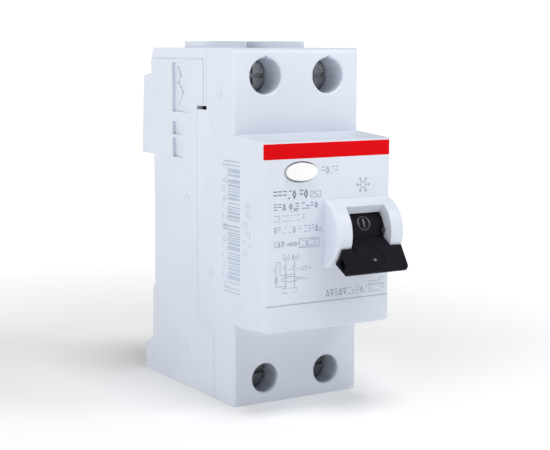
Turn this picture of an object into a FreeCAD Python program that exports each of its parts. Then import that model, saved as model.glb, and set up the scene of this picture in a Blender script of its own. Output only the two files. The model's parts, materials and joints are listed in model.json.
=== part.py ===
import FreeCAD, Part
import math
import os

# Two-pole residual current device for a 35 mm top-hat rail, handle down (off) at rest.
# Frame: origin at the centre of the rail seat, +X to the viewer's right, -Y out of the front, +Z up.
# Every size is in millimetres.

Vector = FreeCAD.Vector

# ---- driving dimensions: housing ----
WIDTH = 35.0                # two 17.5 mm modules
HEIGHT = 85.0
RAIL_ABOVE_BOTTOM = 40.0    # rail centre above the lower end
SHOULDER_DEPTH = 44.0       # rail seat to the shoulder faces
NOSE_DEPTH = 57.8           # rail seat to the nose face
NOSE_TOP = 24.9             # where the nose meets the shoulder, above the rail centre
NOSE_BOTTOM = -21.0
NOSE_DRAFT = 0.95           # the nose narrows by this at each end towards its face
WALL = 1.6
SEAM = 0.1                  # gap between the two housing halves
SHOULDER_ROUND = 1.4
NOSE_ROUND = 0.8
NOSE_CORNER = 1.8           # radius of the nose's two lower corners
EDGE_BREAK = 0.4            # chamfer of the shoulders' upright edges

# ---- rail seat and rail clip ----
RAIL_HALF = 17.5            # half of the 35 mm rail
RAIL_GAP = 1.3              # from the seat to the lips behind the rail's flange
SEAT_HALF_WIDTH = 14.5
EDGE_RELIEF = 2.4           # side-wall edges stand this far in front of the seat
LIP_REACH = 2.5             # the lips' reach down behind the rail's flange
SEAT_RELIEF = 0.3           # the seat's set-back opposite the lips and the clip
CAVITY_BACK = -4.6          # rear wall of the inside
CLIP_HALF_WIDTH = 7.0
CLIP_THICK = 2.0
CLIP_TRAVEL = 3.5
CLIP_PLAY = 0.4             # beside the clip in its channel
CLIP_BACKLASH = 0.3         # behind the clip in its channel
CLIP_SPRING_SHUT = 4.4      # the clip spring's length with the clip pulled out
CLIP_SPRING_PLAY = 0.35     # at each end of the clip spring

# ---- terminals ----
UPPER_SCREW_DROP = 6.6      # upper screw axis below the top
LOWER_SCREW_RISE = 6.0      # lower screw axis above the bottom
UPPER_HOLE_R = 4.3
LOWER_HOLE_R = 3.6
GUIDE_R = 4.3               # inside of the screw guides
GUIDE_WALL = 1.0
ENTRY_Y = -19.4             # cable entry centre
ENTRY_R = 4.3
COLLAR_R = 7.5
COLLAR_HEIGHT = 1.6
SCREW_R = 2.5
THREAD_PLAY = 0.06
HEAD_R = 3.9
HEAD_THICK = 2.6
HEAD_DEPTH = 7.0            # shoulder face to the screw head
PITCH = 0.8                 # of the screw's thread
CAGE_TURNS = 8              # screw turns from open to shut
CAGE_HALF_WIDTH = 6.2
CAGE_SIDE = 1.4
CAGE_HEIGHT = 7.4
CAGE_THREADED_WALL = 2.2
CAGE_CLAMP_WALL = 1.6
CAGE_SPARE = 4.1            # cage opening left when the cage is fully lifted
PLATE_Y = -23.8             # rear face of the current bars
PLATE_THICK = 1.2
PLATE_HALF_WIDTH = 4.4

# ---- handle ----
TOGGLE_OFFSET = -0.75       # handle centre from the pole centre
TOGGLE_Z = 2.2
TOGGLE_SINK = 2.1           # handle axis behind the nose face
BULGE_WALL = 2.65           # bulge surface outside the handle's drum
BULGE_MARGIN = 0.1          # bulge end from the housing's side
BULGE_ROUND = 0.9
WINDOW_HALF_WIDTH = 5.5
WINDOW_ROOM_UP = 0.8        # window edges above and below the handle's drum
WINDOW_ROOM_DOWN = 1.9
DRUM_R = 5.6
DRUM_GAP = 0.2              # drum surface to the window's upper wall
PIN_R = 1.25
RUNNING = 0.05              # radial play of a turning fit
SEATED = 0.03               # radial play of a pin held in its bore
SIDE_PLAY = 0.3
PADDLE_GAP = 0.4            # paddle above the bulge
PADDLE_END_MARGIN = 0.95    # paddle end from the bulge end
PADDLE_REACH = 4.85         # the paddle's length from root to tip
PADDLE_WALL = 1.0
TOGGLE_SWING = 60.0
CRANK_R = 4.2

# ---- contact carrier ----
SHAFT_Y = -20.15
SHAFT_Z = 12.0
SHAFT_R = 1.5
CARRIER_R = 3.2
CARRIER_ARM = 11.6
CONTACT_ARM = 12.0          # shaft to the contact point
CONTACT_THICK = 1.5
TIP_R = 1.8
TIP_THICK = 1.0
CONTACT_GAP_ON = 0.3
WIRE_R = 0.8                # drive link wire

# ---- transformer ----
TOROID_Z = -16.5
CORE_INNER = 7.2
CORE_OUTER = 10.6
CORE_HEIGHT = 7.0
WINDING_THICK = 0.7
WINDING_TURNS = 24
CASE_WALL = 0.8
CASE_PLAY_INNER = 0.85      # between the winding and the case
CASE_PLAY_OUTER = 0.6
CASE_BACK_GAP = 0.3         # case to the rear wall of the inside
CONDUCTOR_R = 1.7
CONDUCTOR_X = 2.3

# ---- test button ----
BUTTON_OFFSET = 1.05        # button centre from the pole centre
BUTTON_Z = 17.0
BUTTON_HALF = (4.15, 2.1)
BUTTON_HOLE_PLAY = 0.33
BUTTON_PROUD = 1.0
BUTTON_TRAVEL = 1.4
STEM_R = 1.2

# ---- springs ----
COIL_STEPS = 12             # straight steps in one turn
COIL_SIDES = 6              # sides of the wire's section

# ---- worked out ----
SIDE = WIDTH / 2
INSIDE = SIDE - WALL
POLE = WIDTH / 4
TOP = HEIGHT - RAIL_ABOVE_BOTTOM
BOTTOM = -RAIL_ABOVE_BOTTOM
UPPER_SCREW_Z = TOP - UPPER_SCREW_DROP
LOWER_SCREW_Z = BOTTOM + LOWER_SCREW_RISE
NOSE_Y = -NOSE_DEPTH
SHOULDER_Y = -SHOULDER_DEPTH
TOGGLE_X = POLE + TOGGLE_OFFSET
TOGGLE_Y = NOSE_Y + TOGGLE_SINK
BULGE_R = DRUM_R + BULGE_WALL
WINDOW_UP = DRUM_R + WINDOW_ROOM_UP
WINDOW_DOWN = DRUM_R + WINDOW_ROOM_DOWN
PADDLE_LENGTH = BULGE_R + PADDLE_GAP + PADDLE_REACH
BULGE_HALF = SIDE - BULGE_MARGIN - TOGGLE_X
PADDLE_HALF = BULGE_HALF - PADDLE_END_MARGIN
HEAD_Y = SHOULDER_Y + HEAD_DEPTH
PLATE_FRONT = PLATE_Y - PLATE_THICK
CAGE_OPENING = PITCH * CAGE_TURNS + CAGE_SPARE
STEP_Z = TOP - 13.9         # upper end of the cover's rearward part
REAR_STEP_Y = -26.05
UPPER_SEAM_Y = -30.9
LOWER_SEAM_Y = -34.0
CELL_WALL = 1.4             # walls round the terminal cells
UPPER_CELL = UPPER_SCREW_Z - 5.6
LOWER_CELL = LOWER_SCREW_Z + 6.8
CRANK_ANGLE = math.radians(TOGGLE_SWING / 2)
CRANK_PIN = (
    TOGGLE_Y + CRANK_R * math.cos(CRANK_ANGLE),
    TOGGLE_Z + CRANK_R * math.sin(CRANK_ANGLE),
)
# crank pin and carrier pin rise and fall by the same amount
HALF_SWING = math.asin(CRANK_R * math.sin(CRANK_ANGLE) / CARRIER_ARM)
CARRIER_SWING = math.degrees(2 * HALF_SWING)
CARRIER_PIN = (
    SHAFT_Y - CARRIER_ARM * math.cos(HALF_SWING),
    SHAFT_Z + CARRIER_ARM * math.sin(HALF_SWING),
)
CASE_INNER = CORE_INNER - WINDING_THICK / 2 - CASE_PLAY_INNER - CASE_WALL
CASE_OUTER = CORE_OUTER + WINDING_THICK + CASE_PLAY_OUTER + CASE_WALL
TOROID_Y = CAVITY_BACK - CASE_BACK_GAP - CASE_OUTER
LEAD_BEND_SHARE = 0.445
FAR = 200.0                 # longer than anything here

POLES = {"left": -POLE, "right": POLE}
ENDS = {"upper": UPPER_SCREW_Z, "lower": LOWER_SCREW_Z}


# ---- shapes ----
def box(x, y, z):
    """A block from its (low, high) spans."""
    return Part.makeBox(x[1] - x[0], y[1] - y[0], z[1] - z[0], Vector(x[0], y[0], z[0]))


def rod_x(x, y, z, radius):
    return Part.makeCylinder(radius, x[1] - x[0], Vector(x[0], y, z), Vector(1, 0, 0))


def rod_y(x, y, z, radius):
    return Part.makeCylinder(radius, y[1] - y[0], Vector(x, y[0], z), Vector(0, 1, 0))


def rod_z(x, y, z, radius):
    return Part.makeCylinder(radius, z[1] - z[0], Vector(x, y, z[0]), Vector(0, 0, 1))


def prism(x, points):
    """A side outline of (y, z) points, carried across the x span."""
    wire = Part.makePolygon([Vector(x[0], y, z) for y, z in points + points[:1]])
    return Part.Face(wire).extrude(Vector(x[1] - x[0], 0, 0))


def oval(centre, half, y):
    """An ellipse in the XZ plane, half its size each way, carried across the y span."""
    long_axis = Vector(centre[0] + half[0], y[0], centre[1])
    short_axis = Vector(centre[0], y[0], centre[1] + half[1])
    curve = Part.Ellipse(long_axis, short_axis, Vector(centre[0], y[0], centre[1]))
    face = Part.Face(Part.Wire(curve.toShape()))
    return face.extrude(Vector(0, y[1] - y[0], 0))


def wire_path(points, radius):
    """A round wire through points, with a ball at each end and corner."""
    points = [Vector(*p) for p in points]
    pieces = [Part.makeSphere(radius, p) for p in points]
    for start, end in zip(points, points[1:]):
        run = end - start
        pieces.append(Part.makeCylinder(radius, run.Length, start, run))
    return pieces[0].fuse(pieces[1:]).removeSplitter()


def coil(start, direction, length, radius, wire, turns):
    """A helical spring of faceted wire from start along direction; radius is to the wire's centre."""
    steps = int(COIL_STEPS * turns)
    rings = []
    for i in range(steps + 1):
        turn = 2 * math.pi * turns * i / steps
        ring = []
        for k in range(COIL_SIDES):
            around = 2 * math.pi * k / COIL_SIDES
            reach = radius + wire * math.cos(around)
            height = length * i / steps + wire * math.sin(around)
            ring.append(Vector(reach * math.cos(turn), reach * math.sin(turn), height))
        rings.append(ring)

    def facet(*corners):
        return Part.Face(Part.makePolygon(list(corners) + [corners[0]]))

    faces = [facet(*rings[0]), facet(*rings[-1])]
    for one, two in zip(rings, rings[1:]):
        for k in range(COIL_SIDES):
            j = (k + 1) % COIL_SIDES
            faces.append(facet(one[k], one[j], two[k]))
            faces.append(facet(one[j], two[j], two[k]))
    spring = Part.Solid(Part.Shell(faces))
    if spring.Volume < 0:
        spring.reverse()
    spring.Placement = FreeCAD.Placement(
        Vector(*start), FreeCAD.Rotation(Vector(0, 0, 1), Vector(*direction))
    )
    return spring


def joined(*pieces):
    return pieces[0].fuse(list(pieces[1:])).removeSplitter()


def mirrored(shape):
    """The same shape on the other side of the middle plane."""
    return shape.mirror(Vector(0, 0, 0), Vector(1, 0, 0))


def both_sides(shape):
    return [shape, mirrored(shape)]


def rounded(shape, radius, wanted):
    """Rounds the straight edges whose end points all satisfy wanted(point)."""
    edges = [e for e in shape.Edges if all(wanted(v.Point) for v in e.Vertexes)]
    return shape.makeFillet(radius, edges) if edges else shape


def near(a, b):
    return abs(a - b) < 1e-4


# ---- housing ----
def rear_outline():
    """Side outline of the rear half, clockwise from the top of the seam."""
    return [
        (UPPER_SEAM_Y, TOP),
        (-3.0, TOP),
        (-1.2, TOP - 2.8),
        (-1.3, TOP - 6.5),
        (3.0, TOP - 7.0),
        (4.5, RAIL_HALF + 0.2),
        (-EDGE_RELIEF, RAIL_HALF + 0.2),
        (-EDGE_RELIEF, -RAIL_HALF + 1.5),
        (-1.2, -RAIL_HALF - 0.5),
        (-0.8, BOTTOM + 9.3),
        (3.5, BOTTOM + 6.8),
        (3.6, BOTTOM),
        (LOWER_SEAM_Y, BOTTOM),
        (LOWER_SEAM_Y, -23.7),
        (REAR_STEP_Y, -20.7),
        (REAR_STEP_Y, STEP_Z),
        (UPPER_SEAM_Y, STEP_Z),
    ]


def rear_base():
    across = (-SIDE, SIDE)
    body = prism(across, rear_outline())
    # the inside, open at the front
    body = body.cut(
        box((-INSIDE, INSIDE), (-FAR, CAVITY_BACK), (BOTTOM + WALL, TOP - WALL))
    )
    body = body.cut(rear_pockets())
    body = body.fuse(
        [seat_ribs(), upper_lips()]
        + cell_walls()
        + shaft_bosses()
        + clip_rails()
        + entry_collars()
    ).removeSplitter()
    return body.cut(side_recesses() + entry_holes())


def rear_pockets():
    """Weight-saving pockets in the back above the rail, the clip's channel and the pockets beside it."""
    floor = CLIP_BACK
    upper = box((-INSIDE, INSIDE), (floor, FAR), (RAIL_HALF + 5.2, TOP - 9.0))
    channel_side = CLIP_HALF_WIDTH + CLIP_PLAY
    channel = box(
        (-channel_side, channel_side),
        (floor, FAR),
        (BOTTOM - 1, -RAIL_HALF + 0.2),
    )
    beside = box(
        (channel_side + 1.4, INSIDE),
        (floor, FAR),
        (BOTTOM + WALL, -RAIL_HALF - 1.8),
    )
    return [upper, channel] + both_sides(beside)


def seat_ribs():
    """The grid of ribs whose faces are the rail seat, set back a little where the lips and the clip reach."""
    half = RAIL_HALF - 0.3
    seat = box((-SEAT_HALF_WIDTH, SEAT_HALF_WIDTH), (-EDGE_RELIEF - 0.6, 0), (-half, half))
    rib = 2.0
    pocket_x = (rib / 2, SEAT_HALF_WIDTH - rib)
    pocket_z = (rib, half - rib)
    pocket = box(pocket_x, (-EDGE_RELIEF + 0.4, 1), pocket_z)
    lower = box(pocket_x, (-EDGE_RELIEF + 0.4, 1), (-half + rib, -rib))
    bearing = RAIL_HALF - LIP_REACH - 0.2
    reliefs = [
        box((-FAR, FAR), (-SEAT_RELIEF, 1), (bearing, FAR)),
        box((-FAR, FAR), (-SEAT_RELIEF, 1), (-FAR, -bearing)),
    ]
    return seat.cut(both_sides(pocket) + both_sides(lower) + reliefs)


def upper_lips():
    """A cross bar above the rail with two lips that drop behind the rail's flange."""
    bar_z = (RAIL_HALF + 0.2, RAIL_HALF + 5.3)
    bar = box((-INSIDE - 0.2, INSIDE + 0.2), (-EDGE_RELIEF - 0.6, 4.3), bar_z)
    lip = prism(
        (6.0, 14.0),
        [
            (RAIL_GAP, RAIL_HALF + 1.0),
            (RAIL_GAP, RAIL_HALF - LIP_REACH + 0.6),
            (RAIL_GAP + 0.6, RAIL_HALF - LIP_REACH),
            (4.3, RAIL_HALF - LIP_REACH),
            (4.3, RAIL_HALF + 1.0),
        ],
    )
    return joined(bar, *both_sides(lip))


def cell_walls():
    """Walls that shut the terminal cells off from the mechanism and from each other."""
    depth = (UPPER_SEAM_Y + 0.4, CAVITY_BACK + 0.3)
    across = (-INSIDE - 0.3, INSIDE + 0.3)
    slot_y = (PLATE_FRONT - 0.5, PLATE_Y + 0.5)
    walls = []
    for low in (UPPER_CELL - CELL_WALL, LOWER_CELL - CELL_WALL):
        wall = box(across, depth, (low, low + CELL_WALL))
        slots = [
            box(
                (x - PLATE_HALF_WIDTH - 0.4, x + PLATE_HALF_WIDTH + 0.4),
                slot_y,
                (low - 1, low + CELL_WALL + 1),
            )
            for x in POLES.values()
        ]
        walls.append(wall.cut(slots))
    half = CELL_WALL / 2
    walls.append(box((-half, half), depth, (UPPER_CELL - 0.3, TOP - WALL + 0.3)))
    walls.append(
        box((-half, half), depth, (BOTTOM + WALL - 0.3, LOWER_CELL - CELL_WALL + 0.3))
    )
    return walls


def shaft_bosses():
    """Bearings on the side walls for the contact carrier's shaft."""
    boss = rod_x((INSIDE - 1.6, INSIDE + 0.3), SHAFT_Y, SHAFT_Z, SHAFT_R + 1.4)
    bore = rod_x((INSIDE - 2, INSIDE - 0.2), SHAFT_Y, SHAFT_Z, SHAFT_R + SEATED)
    return both_sides(boss.cut(bore))


def clip_rails():
    """Two lips over the clip's edges, and the post that the clip's spring stands on."""
    outer = CLIP_HALF_WIDTH + CLIP_PLAY + 0.2
    over = CLIP_BACK + CLIP_THICK + 0.7
    rail = box((CLIP_HALF_WIDTH - 1.2, outer), (over, over + 1.2), (BOTTOM + 7, -21.5))
    web = box((outer - 0.2, outer + 1.3), (CLIP_BACK - 0.3, over + 1.2), (BOTTOM + 7, -21.5))
    post = box((-1.4, 1.4), (CLIP_BACK - 0.3, CLIP_BACK + CLIP_THICK), CLIP_POST_Z)
    return both_sides(rail.fuse(web)) + [post]


def entry_collars():
    return [rod_z(x, ENTRY_Y, (TOP - 0.3, TOP + COLLAR_HEIGHT), COLLAR_R) for x in POLES.values()]


def entry_holes():
    holes = []
    for x in POLES.values():
        holes.append(rod_z(x, ENTRY_Y, (TOP - WALL - 1, TOP + COLLAR_HEIGHT + 1), ENTRY_R))
        holes.append(rod_z(x, ENTRY_Y, (BOTTOM - 1, BOTTOM + WALL + 1), ENTRY_R))
    return holes


def side_recesses():
    """Shallow grips on both sides that run out towards the front, and the line under the top band."""
    depth = 0.9
    cuts = []
    spans = [
        (-22.6, (TOP - 15.9, TOP - 3.7)),
        (-19.1, (TOP - 21.6, TOP - 18.3)),
        (-19.1, (TOP - 27.2, TOP - 22.4)),
    ]
    back = -13.0
    for front, (low, high) in spans:
        outline = [(SIDE - depth, back), (SIDE + 1, back), (SIDE + 1, front), (SIDE, front)]
        wire = Part.makePolygon([Vector(x, y, low) for x, y in outline + outline[:1]])
        cuts += both_sides(Part.Face(wire).extrude(Vector(0, 0, high - low)))
    line = box((SIDE - 0.25, SIDE + 1), (UPPER_SEAM_Y + 1.7, 5), (TOP - 2.85, TOP - 2.5))
    step = box((SIDE - 0.25, SIDE + 1), (UPPER_SEAM_Y + 1.4, UPPER_SEAM_Y + 1.7), (STEP_Z, TOP - 2.5))
    return cuts + both_sides(line) + both_sides(step)


def cover_outline():
    """Side outline of the front half, from the top of the seam round the front."""
    seam = -SEAM
    return [
        (UPPER_SEAM_Y + seam, TOP),
        (SHOULDER_Y, TOP),
        (SHOULDER_Y, NOSE_TOP),
        (NOSE_Y, NOSE_TOP - NOSE_DRAFT),
        (NOSE_Y, NOSE_BOTTOM + NOSE_DRAFT),
        (SHOULDER_Y, NOSE_BOTTOM),
        (SHOULDER_Y, BOTTOM),
        (LOWER_SEAM_Y + seam, BOTTOM),
        (LOWER_SEAM_Y + seam, -23.7),
        (REAR_STEP_Y + seam, -20.7),
        (REAR_STEP_Y + seam, STEP_Z - 0.9),
        (UPPER_SEAM_Y + seam, STEP_Z - 0.9),
    ]


def cover_shell_outline():
    """The inside of the front half, one wall in from the outline and open at the back."""
    return [
        (0, TOP - WALL),
        (SHOULDER_Y + WALL, TOP - WALL),
        (SHOULDER_Y + WALL, NOSE_TOP - WALL),
        (NOSE_Y + WALL, NOSE_TOP - NOSE_DRAFT - WALL),
        (NOSE_Y + WALL, NOSE_BOTTOM + NOSE_DRAFT + WALL),
        (SHOULDER_Y + WALL, NOSE_BOTTOM + WALL),
        (SHOULDER_Y + WALL, BOTTOM + WALL),
        (0, BOTTOM + WALL),
    ]


def nose_corner_cut():
    """What rounds the nose's lower corners: the corner outside an arc, along the sloping edge."""
    middle = (SIDE - NOSE_CORNER, NOSE_BOTTOM + NOSE_CORNER)
    bend = NOSE_CORNER * math.sqrt(0.5)

    def at(x, z):
        return Vector(x, SHOULDER_Y, z)

    low = at(middle[0], NOSE_BOTTOM)
    high = at(SIDE, middle[1])
    arc = Part.Arc(low, at(middle[0] + bend, middle[1] - bend), high).toShape()
    beyond = [at(SIDE + 1, middle[1]), at(SIDE + 1, NOSE_BOTTOM - 1), at(middle[0], NOSE_BOTTOM - 1)]
    rest = Part.makePolygon([high] + beyond + [low])
    face = Part.Face(Part.Wire([arc] + rest.Edges))
    along = Vector(0, NOSE_Y - SHOULDER_Y, NOSE_DRAFT)
    return face.extrude(along * 1.1)


def cover_body():
    """The front half before it is hollowed, with its outer edges rounded or broken."""
    body = prism((-SIDE, SIDE), cover_outline())
    body = rounded(body, NOSE_ROUND, lambda p: near(p.y, NOSE_Y))
    body = rounded(body, SHOULDER_ROUND, lambda p: near(p.y, SHOULDER_Y) and near(p.z, TOP))
    corner = [(SIDE - EDGE_BREAK, SHOULDER_Y), (SIDE, SHOULDER_Y + EDGE_BREAK), (SIDE + 1, SHOULDER_Y - 1)]
    cuts = []
    for low, high in ((BOTTOM - 1, NOSE_BOTTOM), (NOSE_TOP, TOP + 1)):
        wire = Part.makePolygon([Vector(x, y, low) for x, y in corner + corner[:1]])
        cuts += both_sides(Part.Face(wire).extrude(Vector(0, 0, high - low)))
    return body.cut(cuts + both_sides(nose_corner_cut()))


def stripe_zone():
    return box((-SIDE - 1, SIDE + 1), (NOSE_Y - 1, NOSE_Y + 0.5), (20.0, 23.55))


def red_stripe():
    return cover_body().common(stripe_zone())


def bulge():
    """The half-round housing of the handle, with its bearing walls behind the nose face."""
    span = (TOGGLE_X - BULGE_HALF, TOGGLE_X + BULGE_HALF)
    shape = rod_x(span, TOGGLE_Y, TOGGLE_Z, BULGE_R)
    shape = shape.makeFillet(BULGE_ROUND, [e for e in shape.Edges if e.Closed])
    inside = box(
        (span[0] - 1, span[1] + 1),
        (TOGGLE_Y + DRUM_R, FAR),
        (-FAR, FAR),
    )
    return shape.cut(inside)


def toggle_window():
    """The opening in the bulge that the handle stands in; its upper wall points at the handle's axis."""
    x = (TOGGLE_X - WINDOW_HALF_WIDTH, TOGGLE_X + WINDOW_HALF_WIDTH)
    low, high = TOGGLE_Z - WINDOW_DOWN, TOGGLE_Z + WINDOW_UP
    rise = math.asin(WINDOW_UP / BULGE_R)

    def on_wall(radius):
        return (TOGGLE_Y - radius * math.cos(rise), TOGGLE_Z + radius * math.sin(rise))

    inner = on_wall(DRUM_R + DRUM_GAP)
    outer = on_wall(2 * BULGE_R)
    back = TOGGLE_Y + DRUM_R + 1
    return prism(x, [(back, low), (back, high), (inner[0], high), inner, outer, (outer[0], low)])


def screw_guides():
    """Tubes from the shoulder faces down to the screw heads."""
    back = HEAD_Y + HEAD_THICK - 0.2
    tubes = []
    for z in ENDS.values():
        for x in POLES.values():
            tube = rod_y(x, (SHOULDER_Y + WALL - 0.3, back), z, GUIDE_R + GUIDE_WALL)
            tubes.append(tube)
    inside = prism((-INSIDE - 0.3, INSIDE + 0.3), cover_shell_outline())
    return [tube.common(inside) for tube in tubes]


def guide_bores():
    bores = []
    back = HEAD_Y + HEAD_THICK
    for end, z in ENDS.items():
        mouth = UPPER_HOLE_R if end == "upper" else LOWER_HOLE_R
        for x in POLES.values():
            bores.append(rod_y(x, (SHOULDER_Y + WALL - 0.2, back), z, GUIDE_R))
            bores.append(rod_y(x, (SHOULDER_Y - 1, SHOULDER_Y + WALL), z, mouth))
            chamfer = Part.makeCone(
                mouth + 0.35, mouth, 0.35, Vector(x, SHOULDER_Y, z), Vector(0, 1, 0)
            )
            bores.append(chamfer)
    # a small notch over the upper holes
    for x in POLES.values():
        notch = box((-0.5, 0.5), (SHOULDER_Y - 1, SHOULDER_Y + WALL), (-0.5, 0.5))
        notch.rotate(Vector(0, 0, 0), Vector(0, 1, 0), 45)
        notch.translate(Vector(x, 0, UPPER_SCREW_Z + UPPER_HOLE_R - 0.1))
        bores.append(notch)
    return bores


def button_shelf():
    """The shelf behind the test button that guides its stem and backs its spring."""
    shelf = box(
        (-INSIDE - 0.3, -POLE + BUTTON_OFFSET + 4.5),
        (BUTTON_SHELF_Y, BUTTON_SHELF_Y + 1.0),
        (BUTTON_Z - 4.0, NOSE_TOP - WALL),
    )
    inside = prism((-INSIDE - 0.3, INSIDE), cover_shell_outline())
    hole = rod_y(-POLE + BUTTON_OFFSET, (-FAR, 0), BUTTON_Z, STEM_R + 0.15)
    return shelf.common(inside).cut(hole)


def front_cover():
    body = cover_body().cut(stripe_zone())
    body = body.cut(prism((-INSIDE, INSIDE), cover_shell_outline()))
    body = body.fuse([bulge(), button_shelf()] + screw_guides()).removeSplitter()
    hole_half = tuple(h + BUTTON_HOLE_PLAY for h in BUTTON_HALF)
    button_hole = oval(
        (-POLE + BUTTON_OFFSET, BUTTON_Z), hole_half, (NOSE_Y - 1, NOSE_Y + WALL + 0.3)
    )
    pin_bore = rod_x(
        (TOGGLE_X - BULGE_HALF + 1.2, TOGGLE_X + BULGE_HALF - 1.2),
        TOGGLE_Y,
        TOGGLE_Z,
        PIN_R + SEATED,
    )
    groove = box((-SIDE - 1, SIDE + 1), (NOSE_Y - 1, NOSE_Y + 0.25), (-13.7, -13.35))
    return body.cut([toggle_window(), button_hole, pin_bore, groove] + guide_bores())


# ---- handle ----
def paddle_point(radius, below):
    """A point of the handle's side outline, by its distance from the axis and degrees below level."""
    angle = math.radians(below)
    return (TOGGLE_Y - radius * math.cos(angle), TOGGLE_Z - radius * math.sin(angle))


def paddle_outline(inset=0.0):
    """The paddle's rounded triangle; inset gives its hollow."""
    inner = BULGE_R + PADDLE_GAP + inset
    spread = math.degrees(inset * 1.6 / inner)
    return [
        paddle_point(inner, 20.0 + spread),
        paddle_point(PADDLE_LENGTH - 0.2 - inset * 1.7, 34.5),
        paddle_point(PADDLE_LENGTH + 0.1 - inset * 1.7, 38.5),
        paddle_point(PADDLE_LENGTH - 0.2 - inset * 1.7, 42.0),
        paddle_point(inner, 50.0 - spread),
        paddle_point(inner, 42.0),
        paddle_point(inner, 35.0),
        paddle_point(inner, 28.0),
    ]


def toggle():
    drum_half = WINDOW_HALF_WIDTH - SIDE_PLAY
    drum_x = (TOGGLE_X - drum_half, TOGGLE_X + drum_half)
    drum = rod_x(drum_x, TOGGLE_Y, TOGGLE_Z, DRUM_R)
    arm_x = (drum_x[0] + 0.1, drum_x[1] - 0.1)
    arm = prism(
        arm_x,
        [
            (TOGGLE_Y, TOGGLE_Z),
            paddle_point(DRUM_R - 0.1, 12.0),
            paddle_point(BULGE_R + PADDLE_GAP + 0.2, 19.0),
            paddle_point(PADDLE_LENGTH - 0.6, 35.0),
            paddle_point(BULGE_R + PADDLE_GAP + 0.2, 50.0),
            paddle_point(DRUM_R - 0.1, 62.0),
        ],
    )
    paddle_x = (TOGGLE_X - PADDLE_HALF, TOGGLE_X + PADDLE_HALF)
    paddle = prism(paddle_x, paddle_outline())
    clear_bulge = rod_x(
        (paddle_x[0] - 1, paddle_x[1] + 1), TOGGLE_Y, TOGGLE_Z, BULGE_R + PADDLE_GAP
    )
    paddle = paddle.cut(clear_bulge)
    shape = joined(drum, arm, paddle)
    hollow = prism((paddle_x[0] - 1, paddle_x[1] - PADDLE_WALL), paddle_outline(PADDLE_WALL))
    bore = rod_x((drum_x[0] - 1, drum_x[1] + 1), TOGGLE_Y, TOGGLE_Z, PIN_R + RUNNING)
    crank_hole = rod_x(
        (LINK_PIN_X[0] - 0.4, FAR), CRANK_PIN[0], CRANK_PIN[1], WIRE_R + 0.08
    )
    link_room = box((LINK_LEG_X - WIRE_R - 0.4, FAR), (TOGGLE_Y + 2.2, FAR), (-FAR, FAR))
    spring_room = rod_x((drum_x[0] - 1, drum_x[0] + 3.2), TOGGLE_Y, TOGGLE_Z, 3.0)
    return shape.cut([hollow, bore, crank_hole, link_room, spring_room, thumb_dish()])


def thumb_dish():
    """The shallow round dish in the middle of the paddle's upper face."""
    upper = paddle_point(BULGE_R + PADDLE_GAP, 20.0)
    tip = paddle_point(PADDLE_LENGTH - 0.2, 34.5)
    middle = Vector(TOGGLE_X, (upper[0] * 0.42 + tip[0] * 0.58), (upper[1] * 0.42 + tip[1] * 0.58))
    along = Vector(0, tip[0] - upper[0], tip[1] - upper[1]).normalize()
    outward = Vector(0, along.z, -along.y)
    ball, sink = 8.0, 0.5
    return Part.makeSphere(ball, middle + outward * (ball - sink))


def toggle_pin():
    reach = BULGE_HALF - 1.4
    return rod_x((TOGGLE_X - reach, TOGGLE_X + reach), TOGGLE_Y, TOGGLE_Z, PIN_R)


def toggle_spring():
    start = TOGGLE_X - WINDOW_HALF_WIDTH + SIDE_PLAY + 0.5
    return coil((start, TOGGLE_Y, TOGGLE_Z), (1, 0, 0), 2.0, 2.2, 0.25, 3)


def drive_link():
    """A bent wire from the handle's crank to the contact carrier's arm."""
    return wire_path(
        [
            (LINK_PIN_X[0] + WIRE_R,) + CRANK_PIN,
            (LINK_LEG_X,) + CRANK_PIN,
            (LINK_LEG_X,) + CARRIER_PIN,
            (LINK_PIN_X[0] + WIRE_R,) + CARRIER_PIN,
        ],
        WIRE_R,
    )


# ---- contacts ----
def to_rest(shape):
    """Turns a piece of the carrier from its closed place to its place at rest, open."""
    shape.rotate(Vector(0, SHAFT_Y, SHAFT_Z), Vector(1, 0, 0), -CARRIER_SWING)
    return shape


def contact_carrier():
    reach = POLE + 4.6
    body = rod_x((-reach, reach), SHAFT_Y, SHAFT_Z, CARRIER_R)
    pin_y = SHAFT_Y - CARRIER_ARM * math.cos(HALF_SWING)
    pin_z = SHAFT_Z - CARRIER_ARM * math.sin(HALF_SWING)
    arm_x = LINK_PIN_X
    arm = prism(
        arm_x,
        [
            (SHAFT_Y, SHAFT_Z + 2.4),
            (pin_y, pin_z + 2.4),
            (pin_y, pin_z - 2.4),
            (SHAFT_Y, SHAFT_Z - 2.4),
        ],
    )
    body = joined(body, arm, rod_x(arm_x, pin_y, pin_z, 2.4), *[carrier_fin(x) for x in POLES.values()])
    cuts = [rod_x((-FAR, FAR), SHAFT_Y, SHAFT_Z, SHAFT_R + RUNNING)]
    # the link's slot runs back along the arm, for the linkage's small change of length
    slot_half = WIRE_R + 0.4
    for back in (0.0, 1.1):
        cuts.append(rod_x((-FAR, FAR), pin_y + back, pin_z, slot_half))
    cuts.append(box((-FAR, FAR), (pin_y, pin_y + 1.1), (pin_z - slot_half, pin_z + slot_half)))
    for x in POLES.values():
        cuts.append(contact_socket(x))
    return to_rest(body.cut(cuts))


def contact_socket(x):
    half = CONTACT_THICK / 2
    return box(
        (x - 2.0, x + 2.0),
        (SHAFT_Y - half, SHAFT_Y + half),
        (SHAFT_Z + SHAFT_R + 0.4, SHAFT_Z + CARRIER_R + 1),
    )


def carrier_fin(x):
    """The upright behind each moving contact that its spring pushes against."""
    foot = box((x - 1.2, x + 1.2), (SHAFT_Y, SHAFT_Y + 5.4), (SHAFT_Z - 1.0, SHAFT_Z + 1.6))
    upright = box((x - 1.2, x + 1.2), (SHAFT_Y + 4.2, SHAFT_Y + 5.4), (SHAFT_Z - 1.0, SHAFT_Z + 8.5))
    return foot.fuse(upright)


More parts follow.
